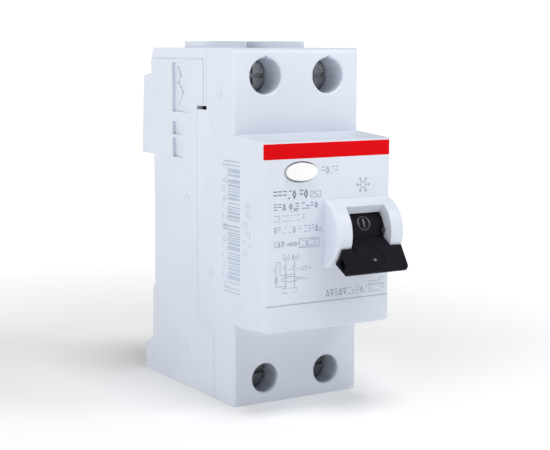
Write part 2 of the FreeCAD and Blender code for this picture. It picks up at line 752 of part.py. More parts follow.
def carrier_shaft():
    reach = INSIDE - 0.3
    return rod_x((-reach, reach), SHAFT_Y, SHAFT_Z, SHAFT_R)


def moving_contact(x):
    half = CONTACT_THICK / 2
    return to_rest(
        box(
            (x - 2.0, x + 2.0),
            (SHAFT_Y - half, SHAFT_Y + half),
            (SHAFT_Z + SHAFT_R + 0.4, SHAFT_Z + CONTACT_ARM + 2.2),
        )
    )


def moving_contact_tips():
    front = SHAFT_Y - CONTACT_THICK / 2
    tips = [
        to_rest(rod_y(x, (front - TIP_THICK, front), SHAFT_Z + CONTACT_ARM, TIP_R))
        for x in POLES.values()
    ]
    return Part.makeCompound(tips)


def contact_springs():
    start = SHAFT_Y + CONTACT_THICK / 2 + 0.5
    springs = [
        to_rest(coil((x, start, SHAFT_Z + 6.4), (0, 1, 0), 2.5, 0.9, 0.2, 3))
        for x in POLES.values()
    ]
    return Part.makeCompound(springs)


def fixed_contact_tips():
    rear = SHAFT_Y - CONTACT_THICK / 2 - TIP_THICK - CONTACT_GAP_ON
    tips = [
        rod_y(x, (PLATE_Y, rear), SHAFT_Z + CONTACT_ARM, TIP_R)
        for x in POLES.values()
    ]
    return Part.makeCompound(tips)


def terminal_plate(end, x):
    """A flat current bar from the upper terminal to its contact, or from the lower one to its conductor."""
    if end == "upper":
        span = (SHAFT_Z + CONTACT_ARM - 2.6, TOP - WALL - 0.8)
    else:
        span = (BOTTOM + WALL + 0.8, LOWER_CELL + 3.6)
    return box((x - PLATE_HALF_WIDTH, x + PLATE_HALF_WIDTH), (PLATE_FRONT, PLATE_Y), span)


def terminal_screw(end, x):
    z = ENDS[end]
    head = rod_y(x, (HEAD_Y, HEAD_Y + HEAD_THICK), z, HEAD_R)
    head = head.makeFillet(0.4, [e for e in head.Edges if e.Closed and near(e.CenterOfMass.y, HEAD_Y)])
    shank = rod_y(x, (HEAD_Y + HEAD_THICK - 0.2, PLATE_FRONT - 0.3), z, SCREW_R)
    screw = joined(head, shank)
    slot = box((x - HEAD_R, x + HEAD_R), (HEAD_Y - 1, HEAD_Y + 1.3), (z - 0.55, z + 0.55))
    cross = box((x - 0.55, x + 0.55), (HEAD_Y - 1, HEAD_Y + 1.5), (z - 2.3, z + 2.3))
    return screw.cut([slot, cross])


def terminal_cage(end, x):
    """The clamp that the screw lifts: a threaded wall in front, a clamping wall behind, open up and down."""
    z = ENDS[end]
    front = PLATE_FRONT - 0.5
    height = (z - CAGE_HEIGHT / 2, z + CAGE_HEIGHT / 2)
    outer = box(
        (x - CAGE_HALF_WIDTH, x + CAGE_HALF_WIDTH),
        (front - CAGE_THREADED_WALL, front + CAGE_OPENING + CAGE_CLAMP_WALL),
        height,
    )
    inner_half = CAGE_HALF_WIDTH - CAGE_SIDE
    inner = box(
        (x - inner_half, x + inner_half),
        (front, front + CAGE_OPENING),
        (height[0] - 1, height[1] + 1),
    )
    thread = rod_y(x, (front - CAGE_THREADED_WALL - 1, front + 1), z, SCREW_R + THREAD_PLAY)
    return outer.cut([inner, thread])


def braid(x):
    """The flexible lead from a moving contact to its primary conductor."""
    side = math.copysign(1, x)
    inner = side * (POLE - 3.4)
    return wire_path(
        [(inner, -16.6, 18.6), (inner, -12.0, 13.0), (side * 5.0, -11.6, 8.0)], 1.0
    )


def primary_conductor(x):
    """A heavy wire from the braid through the transformer to the lower terminal's bar."""
    side = math.copysign(1, x)
    return wire_path(
        [
            (side * 5.0, -11.6, 5.3),
            (side * CONDUCTOR_X, TOROID_Y, -8.0),
            (side * CONDUCTOR_X, TOROID_Y, -23.4),
            (x, PLATE_Y + CONDUCTOR_R, LOWER_CELL + 1.9),
        ],
        CONDUCTOR_R,
    )


# ---- transformer ----
def ring(inner, outer, z):
    return rod_z(0, TOROID_Y, z, outer).cut(rod_z(0, TOROID_Y, (z[0] - 1, z[1] + 1), inner))


def toroid_core():
    half = CORE_HEIGHT / 2
    return ring(CORE_INNER, CORE_OUTER, (TOROID_Z - half, TOROID_Z + half))


def toroid_winding():
    """Separate turns of secondary winding, each a frame round the core's section."""
    half = CORE_HEIGHT / 2
    gap = 0.05
    hole = box(
        (CORE_INNER - gap, CORE_OUTER + gap), (-1, 1), (-half - gap, half + gap)
    )
    turn = box(
        (CORE_INNER - gap - WINDING_THICK / 2, CORE_OUTER + gap + WINDING_THICK),
        (-0.45, 0.45),
        (-half - WINDING_THICK, half + WINDING_THICK),
    ).cut(hole)
    turns = []
    for i in range(WINDING_TURNS):
        one = turn.copy()
        one.rotate(Vector(0, 0, 0), Vector(0, 0, 1), 360.0 * (i + 0.5) / WINDING_TURNS)
        one.translate(Vector(0, TOROID_Y, TOROID_Z))
        turns.append(one)
    return Part.makeCompound(turns)


def toroid_case():
    half = CORE_HEIGHT / 2 + WINDING_THICK + 0.2
    low, high = TOROID_Z - half, TOROID_Z + half
    cup = ring(CASE_INNER, CASE_OUTER, (low - CASE_WALL, high))
    room = ring(CASE_INNER + CASE_WALL, CASE_OUTER - CASE_WALL, (low, high + 1))
    return cup.cut(room)


def toroid_lid():
    high = TOROID_Z + CORE_HEIGHT / 2 + WINDING_THICK + 0.2
    return ring(CASE_INNER, CASE_OUTER, (high, high + CASE_WALL))


def secondary_leads():
    """Two wires from the toroid's case to the back of the relay, bent part of the way across."""
    start = TOROID_Y - CASE_OUTER - 0.36
    end = RELAY_Y + RELAY_HALF + 0.4
    bend = start + (end - start) * LEAD_BEND_SHARE
    leads = []
    for side in (-0.8, 0.8):
        leads.append(
            wire_path(
                [
                    (side, start, TOROID_Z),
                    (3.0 + side, bend, TOROID_Z + 1.0),
                    (6.0 + side, end, RELAY_TOP - 4.0),
                ],
                0.35,
            )
        )
    return Part.makeCompound(leads)


# ---- places inside the nose, from the handle's axis ----
LINK_PIN_X = (TOGGLE_X - 1.4, TOGGLE_X + 1.6)
LINK_LEG_X = TOGGLE_X + 3.2
FRAME_FRONT = TOGGLE_Y + DRUM_R + 0.9
FRAME_BACK = SHAFT_Y - 5.9
FRAME_Z = (TOGGLE_Z - 8.7, TOGGLE_Z + 14.8)
FRAME_SHEET = 1.2
FRAME_X = (TOGGLE_X - 7.0, TOGGLE_X + 6.6)
LATCH_AXIS = (TOGGLE_Y + 10.7, TOGGLE_Z + 4.8)
TRIP_AXIS = (TOGGLE_Y + 17.7, TOGGLE_Z - 3.7)
LEVER_PIN_R = 0.9
LEVER_X = (TOGGLE_X - 4.0, TOGGLE_X - 1.6)
RELAY_X = TOGGLE_X - 1.0
RELAY_Y = TOGGLE_Y + 12.7
RELAY_TOP = TOGGLE_Z - 10.2
RELAY_HALF = 7.0
RELAY_HEIGHT = 10.2
BUTTON_SHELF_Y = NOSE_Y + 6.2
CLIP_POST_Z = (BOTTOM + 6.8, BOTTOM + 8.4)
CLIP_SPRING_Z = (
    CLIP_POST_Z[1] + CLIP_SPRING_PLAY,
    CLIP_POST_Z[1] + CLIP_SPRING_PLAY + CLIP_SPRING_SHUT + CLIP_TRAVEL,
)
CLIP_SLOT = (CLIP_POST_Z[0] - 0.4, CLIP_SPRING_Z[1] + CLIP_SPRING_PLAY)
CLIP_BACK = -EDGE_RELIEF - 0.4


# ---- mechanism ----
def mechanism_frame():
    """Two side sheets joined by a front sheet, a floor strip and a spring tab."""
    depth = (FRAME_FRONT, FRAME_BACK)
    left = box((FRAME_X[0], FRAME_X[0] + FRAME_SHEET), depth, FRAME_Z)
    right = box((FRAME_X[1] - FRAME_SHEET, FRAME_X[1]), depth, FRAME_Z)
    front = box(FRAME_X, (FRAME_FRONT, FRAME_FRONT + FRAME_SHEET), FRAME_Z)
    front = front.cut(
        box(
            (TOGGLE_X - 2.8, LINK_LEG_X + 1.6),
            (-FAR, FAR),
            (TOGGLE_Z - 7.2, TOGGLE_Z + 9.8),
        )
    )
    floor = box(FRAME_X, (FRAME_BACK - 6.0, FRAME_BACK), (FRAME_Z[0], FRAME_Z[0] + FRAME_SHEET))
    tab = box(
        (FRAME_X[0], LEVER_X[1] + 0.4),
        (TRIP_AXIS[0] + 4.8, TRIP_AXIS[0] + 6.0),
        (TRIP_AXIS[1] + 2.4, TRIP_AXIS[1] + 6.4),
    )
    holes = [
        rod_x((-FAR, FAR), TRIP_AXIS[0], TRIP_AXIS[1], LEVER_PIN_R + SEATED),
        rod_x((-FAR, LEVER_X[0]), LATCH_AXIS[0], LATCH_AXIS[1], LEVER_PIN_R + SEATED),
    ]
    return joined(left, right, front, floor, tab).cut(holes)


def trip_pin():
    return rod_x((FRAME_X[0] - 0.3, FRAME_X[1] + 0.3), TRIP_AXIS[0], TRIP_AXIS[1], LEVER_PIN_R)


def latch_pin():
    return rod_x((FRAME_X[0] - 0.3, LEVER_X[1] + 0.6), LATCH_AXIS[0], LATCH_AXIS[1], LEVER_PIN_R)


def trip_lever():
    """Its lower arm lies over the relay's plunger and its upper arm holds the latch."""
    y, z = TRIP_AXIS
    hub = rod_x((LEVER_X[0], LEVER_X[1] + 1.6), y, z, 1.9)
    foot_x = (LEVER_X[0], LEVER_X[1] + 1.6)
    plunger_top = RELAY_TOP + 1.8
    foot = prism(
        foot_x,
        [
            (y + 0.8, z - 1.5),
            (y - 0.8, z + 0.7),
            (y - 6.2, plunger_top + 1.9),
            (y - 6.2, plunger_top + 0.3),
            (y - 4.0, plunger_top + 0.3),
        ],
    )
    upper = box(LEVER_X, (y - 0.8, y + 0.8), (z, z + 7.5))
    bore = rod_x((-FAR, FAR), y, z, LEVER_PIN_R + RUNNING)
    return joined(hub, foot, upper).cut(bore)


def latch_lever():
    """Its tip stands in front of the trip lever's upper arm, and its upright holds the drive."""
    y, z = LATCH_AXIS
    tip_y = TRIP_AXIS[0] - 0.8 - 0.3
    hub = rod_x(LEVER_X, y, z, 1.7)
    beak = prism(
        LEVER_X,
        [(y + 0.4, z + 1.4), (tip_y, z - 0.8), (tip_y, z - 2.4), (y - 0.4, z - 1.6)],
    )
    upright = prism(
        LEVER_X,
        [(y - 1.0, z), (y + 1.0, z), (y + 0.6, z + 5.6), (y - 0.6, z + 5.6)],
    )
    bore = rod_x((-FAR, FAR), y, z, LEVER_PIN_R + RUNNING)
    return joined(hub, beak, upright).cut(bore)


def trip_spring():
    start = (sum(LEVER_X) / 2, TRIP_AXIS[0] + 1.2, TRIP_AXIS[1] + 4.4)
    return coil(start, (0, 1, 0), 3.2, 0.85, 0.2, 4)


# ---- relay ----
def relay_box(x, y, z):
    """A block by its half width, its span from the relay's middle, and its span below the relay's top."""
    return box(
        (RELAY_X - x, RELAY_X + x),
        (RELAY_Y + y[0], RELAY_Y + y[1]),
        (RELAY_TOP + z[0], RELAY_TOP + z[1]),
    )


FRONT_LEG = -3.4
REAR_LEG = 3.4


def relay_case():
    shell = relay_box(6.8, (-RELAY_HALF, RELAY_HALF), (-RELAY_HEIGHT, 0))
    room = relay_box(6.0, (-RELAY_HALF + 0.8, RELAY_HALF - 0.8), (-RELAY_HEIGHT - 1, -0.8))
    hole = rod_z(RELAY_X, RELAY_Y, (-FAR, FAR), 1.1)
    return shell.cut([room, hole])


def relay_yoke():
    floor = relay_box(5.2, (-5.4, 6.0), (-9.2, -7.8))
    legs = [relay_box(1.6, (y - 1.0, y + 1.0), (-8.0, -3.4)) for y in (FRONT_LEG, REAR_LEG)]
    return joined(floor, *legs)


def relay_bobbin():
    tube = rod_z(RELAY_X, RELAY_Y + FRONT_LEG, (RELAY_TOP - 7.6, RELAY_TOP - 3.6), 2.5)
    flanges = [
        rod_z(RELAY_X, RELAY_Y + FRONT_LEG, (RELAY_TOP + low, RELAY_TOP + low + 0.5), 2.7)
        for low in (-7.6, -4.1)
    ]
    hole = relay_box(1.65, (FRONT_LEG - 1.05, FRONT_LEG + 1.05), (-9, 0))
    return joined(tube, *flanges).cut(hole)


def relay_coil():
    span = (RELAY_TOP - 7.05, RELAY_TOP - 4.15)
    wound = rod_z(RELAY_X, RELAY_Y + FRONT_LEG, span, 2.7)
    return wound.cut(rod_z(RELAY_X, RELAY_Y + FRONT_LEG, (-FAR, FAR), 2.53))


def relay_magnet():
    return relay_box(2.4, (-0.4, 1.6), (-7.8, -5.2))


def relay_armature():
    return relay_box(2.2, (-4.6, 6.0), (-3.1, -2.4))


def relay_plunger():
    return rod_z(RELAY_X, RELAY_Y, (RELAY_TOP - 2.4, RELAY_TOP + 1.8), 0.8)


def relay_spring():
    start = (RELAY_X, RELAY_Y + 5.3, RELAY_TOP - 7.5)
    return coil(start, (0, 0, 1), 4.1, 0.45, 0.12, 6)


# ---- test circuit ----
def test_button():
    centre = (-POLE + BUTTON_OFFSET, BUTTON_Z)
    face = NOSE_Y - BUTTON_PROUD
    cap = oval(centre, BUTTON_HALF, (face, NOSE_Y + WALL + 0.4))
    cap = cap.makeFillet(0.45, [e for e in cap.Edges if near(e.CenterOfMass.y, face) and e.Closed])
    flange_half = tuple(h + 0.8 for h in BUTTON_HALF)
    flange = oval(centre, flange_half, (NOSE_Y + WALL + 0.3, NOSE_Y + WALL + 1.5))
    stem = rod_y(centre[0], (NOSE_Y + WALL + 1.0, BUTTON_SHELF_Y + 1.3), centre[1], STEM_R)
    return joined(cap, flange, stem)


def test_button_spring():
    start = (-POLE + BUTTON_OFFSET, NOSE_Y + WALL + 1.8, BUTTON_Z)
    length = BUTTON_SHELF_Y - 0.3 - start[1]
    return coil(start, (0, 1, 0), length, 1.75, 0.25, 3.5)


def test_contact_blade():
    """A spring strip just beyond the stem's reach, bent back to its anchor."""
    x = -POLE + BUTTON_OFFSET
    front = BUTTON_SHELF_Y + 1.3 + BUTTON_TRAVEL + 0.3
    strip = box((x - 4.8, x + 3.7), (front, front + 0.3), (BUTTON_Z - 1.2, BUTTON_Z + 1.2))
    anchor = box((x - 4.8, x - 4.5), (front, front + 6.0), (BUTTON_Z - 1.2, BUTTON_Z + 1.2))
    return joined(strip, anchor)


RESISTOR = (-POLE - 2.2, NOSE_Y + 17.8)


def test_resistor():
    x, y = RESISTOR
    body = rod_z(x, y, (2.0, 11.0), 2.0)
    return body.makeFillet(0.6, [e for e in body.Edges if e.Closed])


def test_leads():
    """Bare wires from the blade to the resistor and from the resistor to the lower left bar."""
    x, y = RESISTOR
    upper = wire_path([(x, y, 11.4), (x, y, 14.4)], 0.35)
    lower = wire_path(
        [
            (x, y, 1.6),
            (x, y + 2.0, -8.0),
            (x, y + 8.0, -24.0),
            (-POLE, PLATE_FRONT - 0.36, LOWER_CELL + 1.0),
        ],
        0.35,
    )
    return Part.makeCompound([upper, lower])


# ---- rail clip ----
def din_clip():
    """A sliding plate whose head reaches behind the rail's lower flange."""
    back = CLIP_BACK + CLIP_BACKLASH
    front_face = back + CLIP_THICK
    low = BOTTOM + 0.6
    half = CLIP_HALF_WIDTH
    plate = box((-half, half), (back, front_face), (low, -RAIL_HALF - 0.7))
    head = prism(
        (-5.2, 5.2),
        [
            (back, -RAIL_HALF - 0.4),
            (back, -RAIL_HALF - 4.2),
            (front_face, -RAIL_HALF - 5.2),
            (3.4, -RAIL_HALF - 3.0),
            (3.4, -RAIL_HALF + 1.6),
            (2.6, -RAIL_HALF + 2.4),
            (RAIL_GAP, -RAIL_HALF + 2.4),
            (RAIL_GAP, -RAIL_HALF - 0.4),
        ],
    )
    pull = box((-2.5, 2.5), (back - 1, front_face + 1), (low + 1.6, low + 3.4))
    slot = box((-1.8, 1.8), (back - 1, front_face + 1), CLIP_SLOT)
    return joined(plate, head).cut([pull, slot])


def din_clip_spring():
    y = CLIP_BACK + CLIP_BACKLASH + CLIP_THICK / 2
    low, high = CLIP_SPRING_Z
    return coil((0, y, low), (0, 0, 1), high - low, 0.75, 0.25, 8)


# ---- every piece, by name ----
def pieces():
    made = {
        "rear_base": rear_base(),
        "front_cover": front_cover(),
        "red_stripe": red_stripe(),
        "toggle": toggle(),
        "toggle_pin": toggle_pin(),
        "toggle_spring": toggle_spring(),
        "drive_link": drive_link(),
        "contact_carrier": contact_carrier(),
        "carrier_shaft": carrier_shaft(),
        "moving_contact_tips": moving_contact_tips(),
        "fixed_contact_tips": fixed_contact_tips(),
        "contact_springs": contact_springs(),
        "toroid_core": toroid_core(),
        "toroid_winding": toroid_winding(),
        "toroid_case": toroid_case(),
        "toroid_lid": toroid_lid(),
        "secondary_leads": secondary_leads(),
        "mechanism_frame": mechanism_frame(),
        "trip_pin": trip_pin(),
        "latch_pin": latch_pin(),
        "trip_lever": trip_lever(),
        "latch_lever": latch_lever(),
        "trip_spring": trip_spring(),
        "relay_case": relay_case(),
        "relay_yoke": relay_yoke(),
        "relay_bobbin": relay_bobbin(),
        "relay_coil": relay_coil(),
        "relay_magnet": relay_magnet(),
        "relay_armature": relay_armature(),
        "relay_plunger": relay_plunger(),
        "relay_spring": relay_spring(),
        "test_button": test_button(),
        "test_button_spring": test_button_spring(),
        "test_contact_blade": test_contact_blade(),
        "test_resistor": test_resistor(),
        "test_leads": test_leads(),
        "din_clip": din_clip(),
        "din_clip_spring": din_clip_spring(),
    }
    for side, x in POLES.items():
        made[f"moving_contact_{side}"] = moving_contact(x)
        made[f"braid_{side}"] = braid(x)
        made[f"primary_conductor_{side}"] = primary_conductor(x)
        for end in ENDS:
            made[f"terminal_plate_{end}_{side}"] = terminal_plate(end, x)
            made[f"terminal_screw_{end}_{side}"] = terminal_screw(end, x)
            made[f"terminal_cage_{end}_{side}"] = terminal_cage(end, x)
    return made


os.makedirs("parts", exist_ok=True)
for name, shape in pieces().items():
    shape.exportStep(f"parts/{name}.step")
    print(name, len(shape.Solids), round(shape.Volume, 2), "valid" if shape.isValid() else "NOT VALID")
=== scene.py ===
"""Looks of a two-pole residual current device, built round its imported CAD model.

Everything is in metres in the model's own frame: origin at the rail seat, +X right, -Y out of the
front, +Z up. Places come from the CAD nodes' boxes; sizes of print and small detail are in MM.
"""
import json
import math
import random

import bmesh
import bpy
from mathutils import Matrix, Vector


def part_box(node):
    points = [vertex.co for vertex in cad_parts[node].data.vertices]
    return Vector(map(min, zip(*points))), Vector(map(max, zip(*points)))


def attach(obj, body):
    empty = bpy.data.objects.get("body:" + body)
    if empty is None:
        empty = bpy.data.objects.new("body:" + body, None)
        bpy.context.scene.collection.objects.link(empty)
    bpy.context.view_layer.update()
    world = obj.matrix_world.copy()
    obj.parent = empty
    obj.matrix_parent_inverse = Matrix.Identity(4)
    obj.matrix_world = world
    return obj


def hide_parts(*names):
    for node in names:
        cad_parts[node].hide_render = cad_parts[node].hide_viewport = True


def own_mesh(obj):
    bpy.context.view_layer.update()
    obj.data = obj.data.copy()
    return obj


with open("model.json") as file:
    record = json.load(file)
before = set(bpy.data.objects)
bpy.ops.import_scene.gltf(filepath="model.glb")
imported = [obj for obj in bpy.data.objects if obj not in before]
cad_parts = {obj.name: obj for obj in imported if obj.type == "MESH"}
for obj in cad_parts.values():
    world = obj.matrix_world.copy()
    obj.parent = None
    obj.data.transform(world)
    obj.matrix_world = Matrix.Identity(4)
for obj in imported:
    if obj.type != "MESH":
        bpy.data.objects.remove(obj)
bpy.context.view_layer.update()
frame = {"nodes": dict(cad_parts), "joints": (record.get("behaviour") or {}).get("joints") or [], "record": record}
record = frame["record"]
nodes = frame["nodes"]
MM = 0.001
DEG = math.pi / 180


# ---- places read from the frame ----
base_low, base_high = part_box("rear_base")
stripe_low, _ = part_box("red_stripe")
joints = {j["name"]: j for j in frame["joints"]}
SIDE = base_high.x
NOSE_Y = stripe_low.y
BOTTOM = base_low.z
AXIS = Vector(joints["toggle_swing"]["pos_m"])
# radius and half width of the handle's drum
DRUM_R = 5.6 * MM
DRUM_HALF = 5.2 * MM


# ---- materials ----
def material(name, colour, roughness, **sockets):
    """A Principled material with its constants set on the shader's own sockets."""
    mat = bpy.data.materials.new(name)
    mat.use_nodes = True
    shader = mat.node_tree.nodes["Principled BSDF"]
    shader.inputs["Base Color"].default_value = (*colour, 1)
    shader.inputs["Roughness"].default_value = roughness
    for key, value in sockets.items():
        shader.inputs[key.replace("_", " ")].default_value = value
    return mat


def noise(mat, scale, detail=3.0, stretch=None):
    """A noise texture on object coordinates; scale is in features per metre."""
    tree = mat.node_tree
    where = tree.nodes.new("ShaderNodeTexCoord")
    out = where.outputs["Object"]
    if stretch:
        mapping = tree.nodes.new("ShaderNodeMapping")
        mapping.inputs["Scale"].default_value = stretch
        tree.links.new(out, mapping.inputs["Vector"])
        out = mapping.outputs["Vector"]
    texture = tree.nodes.new("ShaderNodeTexNoise")
    texture.inputs["Scale"].default_value = scale
    texture.inputs["Detail"].default_value = detail
    tree.links.new(out, texture.inputs["Vector"])
    return texture.outputs["Fac"]


def ramp(mat, factor, low, high, start=0.35, end=0.65):
    """Maps a factor onto two colours or greys."""
    node = mat.node_tree.nodes.new("ShaderNodeValToRGB")
    node.color_ramp.elements[0].position = start
    node.color_ramp.elements[1].position = end
    node.color_ramp.elements[0].color = (*low, 1)
    node.color_ramp.elements[1].color = (*high, 1)
    mat.node_tree.links.new(factor, node.inputs["Fac"])
    return node.outputs["Color"]


def vary_colour(mat, colour, spread, scale, detail=4.0):
    """Slow patches that are a little lighter and darker than the colour."""
    low = tuple(max(0, c * (1 - spread)) for c in colour)
    high = tuple(min(1, c * (1 + spread)) for c in colour)
    out = ramp(mat, noise(mat, scale, detail), low, high)
    mat.node_tree.links.new(out, mat.node_tree.nodes["Principled BSDF"].inputs["Base Color"])


def vary_roughness(mat, low, high, scale, stretch=None):
    """Patches that are a little glossier and duller."""
    out = ramp(mat, noise(mat, scale, 5.0, stretch), (low,) * 3, (high,) * 3, 0.3, 0.7)
    mat.node_tree.links.new(out, mat.node_tree.nodes["Principled BSDF"].inputs["Roughness"])


def grain(mat, layers):
    """Bump from several noise layers, each (scale, depth in metres, strength, stretch)."""
    tree = mat.node_tree
    last = None
    for scale, depth, strength, stretch in layers:
        bump = tree.nodes.new("ShaderNodeBump")
        bump.inputs["Distance"].default_value = depth
        bump.inputs["Strength"].default_value = strength
        tree.links.new(noise(mat, scale, 2.0, stretch), bump.inputs["Height"])
        if last:
            tree.links.new(last, bump.inputs["Normal"])
        last = bump.outputs["Normal"]
    tree.links.new(last, tree.nodes["Principled BSDF"].inputs["Normal"])


def moulded(name, colour, rough=(0.42, 0.55), fine=4200, depth=0.00002, spread=0.02, **sockets):
    """Moulded plastic: a fine spark-eroded grain, slow flow patches and uneven sheen."""
    mat = material(name, colour, sum(rough) / 2, **sockets)
    vary_colour(mat, colour, spread, 60)
    vary_roughness(mat, rough[0], rough[1], 420)
    grain(mat, [(fine, depth, 0.5, None), (90, 0.00008, 0.12, None)])
    return mat


def metal(name, colour, rough=(0.25, 0.45), streak=(1, 1, 14), scratch=900, spread=0.08):
    """Bare metal with fine drawn scratches along one direction and a matt grain."""
    mat = material(name, colour, sum(rough) / 2, Metallic=1.0)
    vary_colour(mat, colour, spread, 350)
    vary_roughness(mat, rough[0], rough[1], scratch, streak)
    grain(mat, [(scratch, 0.00001, 0.35, streak), (2600, 0.000006, 0.3, None)])
    return mat


GREY = (0.645, 0.69, 0.775)
# one material for each material slot of the record
MAT = {
    "housing_grey": moulded("housing_grey", GREY, (0.36, 0.48)),
    "red_band": moulded(
        "red_band", (0.66, 0.0005, 0.004), (0.34, 0.46), 3000, 0.000008, 0.03, Specular_IOR_Level=0.05
    ),
    "handle_black": moulded(
        "handle_black", (0.008, 0.008, 0.012), (0.4, 0.56), 5200, 0.00004, 0.25, Specular_IOR_Level=0.04
    ),
    "button_white": moulded("button_white", (0.86, 0.86, 0.86), (0.35, 0.46), 3500, 0.00001),
    "clip_dark": moulded("clip_grey", (0.55, 0.59, 0.66), (0.4, 0.55)),
    "inner_plastic": moulded("inner_plastic", (0.05, 0.05, 0.055), (0.4, 0.6)),
    "relay_clear_grey": moulded("relay_case_grey", (0.3, 0.32, 0.34), (0.25, 0.4)),
    "copper": metal("copper", (0.80, 0.38, 0.22), (0.25, 0.42)),
    "silver": metal("silver_alloy", (0.80, 0.79, 0.75), (0.3, 0.5)),
    "enamelled_wire": metal("enamelled_wire", (0.42, 0.13, 0.05), (0.18, 0.3), (1, 1, 1)),
    "dark_core": moulded("dark_core", (0.06, 0.06, 0.065), (0.5, 0.7), 2500, 0.00005, 0.3),
    "resistor_body": moulded("resistor_lacquer", (0.10, 0.28, 0.16), (0.2, 0.3)),
    # The screw steel is coloured dark: painted shade for the screws that sit inside the terminal holes.
    "zinc_steel": metal("zinc_steel", (0.34, 0.34, 0.34), (0.22, 0.42), (1, 10, 1), 1200),
    "spring_steel": metal("spring_steel", (0.42, 0.42, 0.44), (0.25, 0.4)),
}
PRINT = moulded("print_ink", (0.20, 0.28, 0.40), (0.45, 0.6), 5000, 0.000004, 0.12)
THIN_PRINT = moulded("thin_print_ink", (0.26, 0.32, 0.42), (0.45, 0.6), 5000, 0.000004, 0.12)
SIDE_PRINT = moulded("side_print_ink", (0.42, 0.49, 0.60), (0.45, 0.6), 5000, 0.000004, 0.12)

slot_of = {s["node"]: s["material_slot"] for s in record["subparts"]}
for name, obj in nodes.items():
    obj.data.materials.clear()
    obj.data.materials.append(MAT[slot_of[name]])


# ---- mesh helpers ----
SHARP_ANGLE = 32 * DEG
INK = 0.035 * MM            # how far print stands out of its face
ROOT = -0.02 * MM           # and how far it reaches in


def new_piece(name, build, mat, body, smooth=True):
    """A mesh object made by build(bmesh), with its material and body."""
    mesh = bpy.data.meshes.new(name)
    bm = bmesh.new()
    build(bm)
    bmesh.ops.recalc_face_normals(bm, faces=bm.faces)
    bm.to_mesh(mesh)
    bm.free()
    if smooth:
        for polygon in mesh.polygons:
            polygon.use_smooth = True
        mesh.set_sharp_from_angle(angle=SHARP_ANGLE)
    obj = bpy.data.objects.new(name, mesh)
    bpy.context.scene.collection.objects.link(obj)
    mesh.materials.append(mat)
    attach(obj, body)
    return obj


def patch(bm, place, corners, thick=INK):
    """A thin raised patch over a convex outline on a surface; place maps (u, v, w) to space."""
    base = [bm.verts.new(place(u, v, ROOT)) for u, v in corners]
    top = [bm.verts.new(place(u, v, thick)) for u, v in corners]
    bm.faces.new(base[::-1])
    bm.faces.new(top)
    for i in range(len(corners)):
        j = (i + 1) % len(corners)
        bm.faces.new((base[i], base[j], top[j], top[i]))


def stroke(bm, place, start, end, width, thick=INK):
    """A straight stroke of print with half-round ends."""
    (u0, v0), (u1, v1) = start, end
    length = math.hypot(u1 - u0, v1 - v0) or 1e-9
    along = ((u1 - u0) / length, (v1 - v0) / length)
    turn = math.atan2(along[1], along[0])
    half = width / 2
    corners = []
    for centre, first in (((u1, v1), -90), ((u0, v0), 90)):
        for i in range(5):
            a = turn + (first + 45 * i) * DEG
            corners.append((centre[0] + half * math.cos(a), centre[1] + half * math.sin(a)))
    patch(bm, place, corners, thick)


def path(bm, place, points, width, closed=False):
    """Strokes from each point to the next."""
    ring = points + points[:1] if closed else points
    for start, end in zip(ring, ring[1:]):
        stroke(bm, place, start, end, width)


def arc_points(centre, radius, first, last, steps):
    """Points on a circle, from the first angle in degrees to the last."""
    return [
        (
            centre[0] + radius * math.cos((first + (last - first) * i / steps) * DEG),
            centre[1] + radius * math.sin((first + (last - first) * i / steps) * DEG),
        )
        for i in range(steps + 1)
    ]


def on_nose(u, v, w):
    """The nose's front face: u right and v up in metres from the rail centre, w out of the face."""
    return Vector((u, NOSE_Y - w, v))


def on_left(u, v, w):
    """The left side: u towards the front, v up, w out of the face."""
    return Vector((-SIDE - w, -u, v))


# ---- camera, light and floor ----
CAMERA_PLACE = (-0.1700, -0.3111, 0.0452)
CAMERA_TARGET = (0.00093, -0.0324, 0.00125)
CAMERA_ROLL = 0.1 * DEG
LENS = 86.74                # millimetres on a sensor 36 mm wide
MIDDLE = (0, -0.03, 0)      # what the lights face


def look(obj, target, roll=0.0):
    """Turns a camera or light towards a point."""
    direction = Vector(target) - obj.location
    turn = direction.to_track_quat("-Z", "Y").to_matrix().to_4x4()
    obj.rotation_euler = (turn @ Matrix.Rotation(roll, 4, "Z")).to_euler()


camera_data = bpy.data.cameras.new("camera")
camera_data.sensor_width = 36.0
camera_data.lens = LENS
camera_data.clip_start = 0.01
camera_data.clip_end = 20
camera = bpy.data.objects.new("camera", camera_data)
camera.location = CAMERA_PLACE
look(camera, CAMERA_TARGET, CAMERA_ROLL)
bpy.context.scene.collection.objects.link(camera)
bpy.context.scene.camera = camera


def softbox(name, place, size, power):
    """A white area light that faces the object."""
    data = bpy.data.lights.new(name, "AREA")
    data.shape = "RECTANGLE"
    data.size, data.size_y = size
    data.energy = power
    light = bpy.data.objects.new(name, data)
    light.location = place
    look(light, MIDDLE)
    bpy.context.scene.collection.objects.link(light)


softbox("top_softbox", (0.02, -0.19, 0.60), (0.24, 0.24), 1.9)
softbox("right_softbox", (0.24, -0.30, 0.25), (0.14, 0.14), 0.42)
softbox("left_softbox", (-0.75, -0.10, 0.15), (0.6, 0.7), 2.75)

